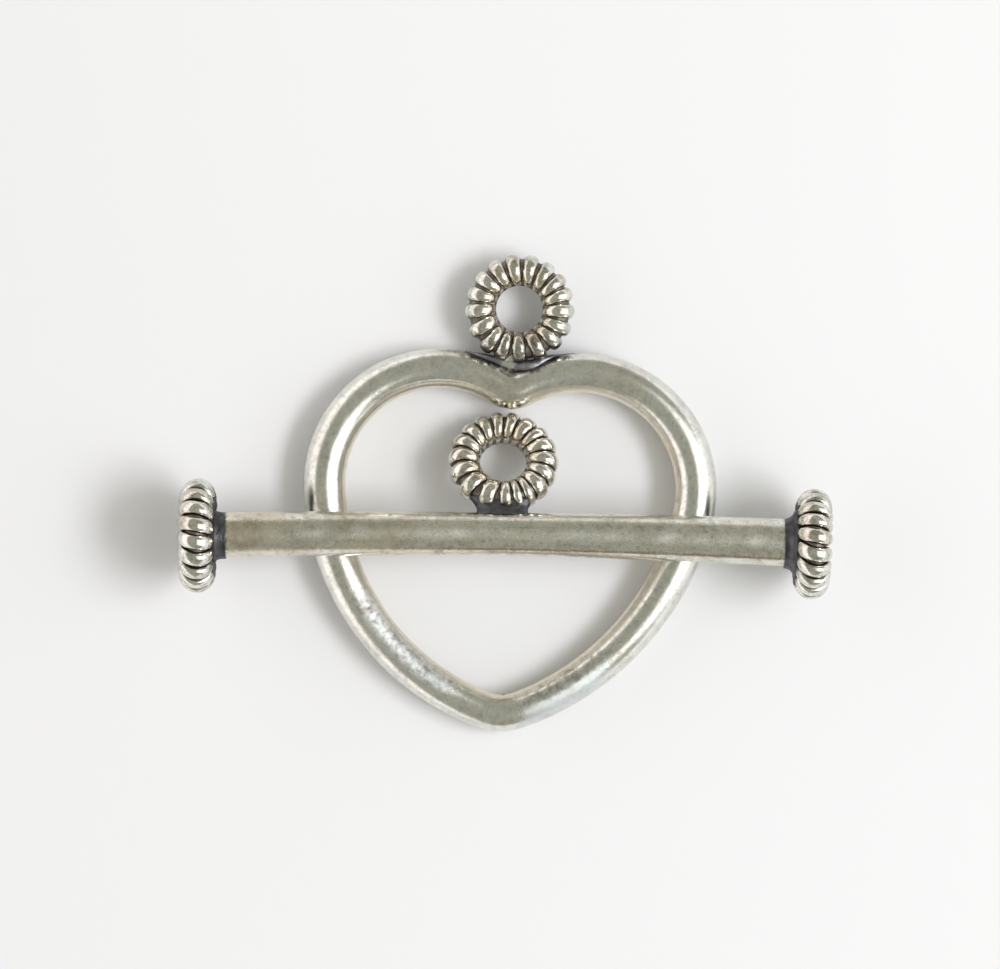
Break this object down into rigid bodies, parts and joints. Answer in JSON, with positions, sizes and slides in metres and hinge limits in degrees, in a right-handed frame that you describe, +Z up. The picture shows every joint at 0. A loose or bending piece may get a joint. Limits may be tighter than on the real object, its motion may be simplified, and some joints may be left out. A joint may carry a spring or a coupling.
{
  "type": "toggle clasp",
  "caption": "Silver toggle clasp: a heart-shaped loop of round wire with a coiled ring in its notch, and a loose bar with coiled rings at its ends and middle lying across it.",
  "frame": {"origin": "under the middle of the whole clasp, at the level of the surface that it lies on", "axes": "+X along the bar to its thicker end, +Y up the heart from its point to its ring, +Z up off the surface"},
  "size_m": [0.0323, 0.0238, 0.0062],
  "materials": {
    "silver": "polished silver with light wear",
    "bar_silver": "polished silver with light wear"
  },
  "bodies": {
    "heart": {"heart_loop": "silver"},
    "bar": {"toggle_bar": "bar_silver"}
  },
  "joints": [
    {"name": "bar_lift", "type": "slide", "parent": "heart", "child": "bar", "axis": [0, 0, 1], "range_m": [0, 0.015]}
  ]
}
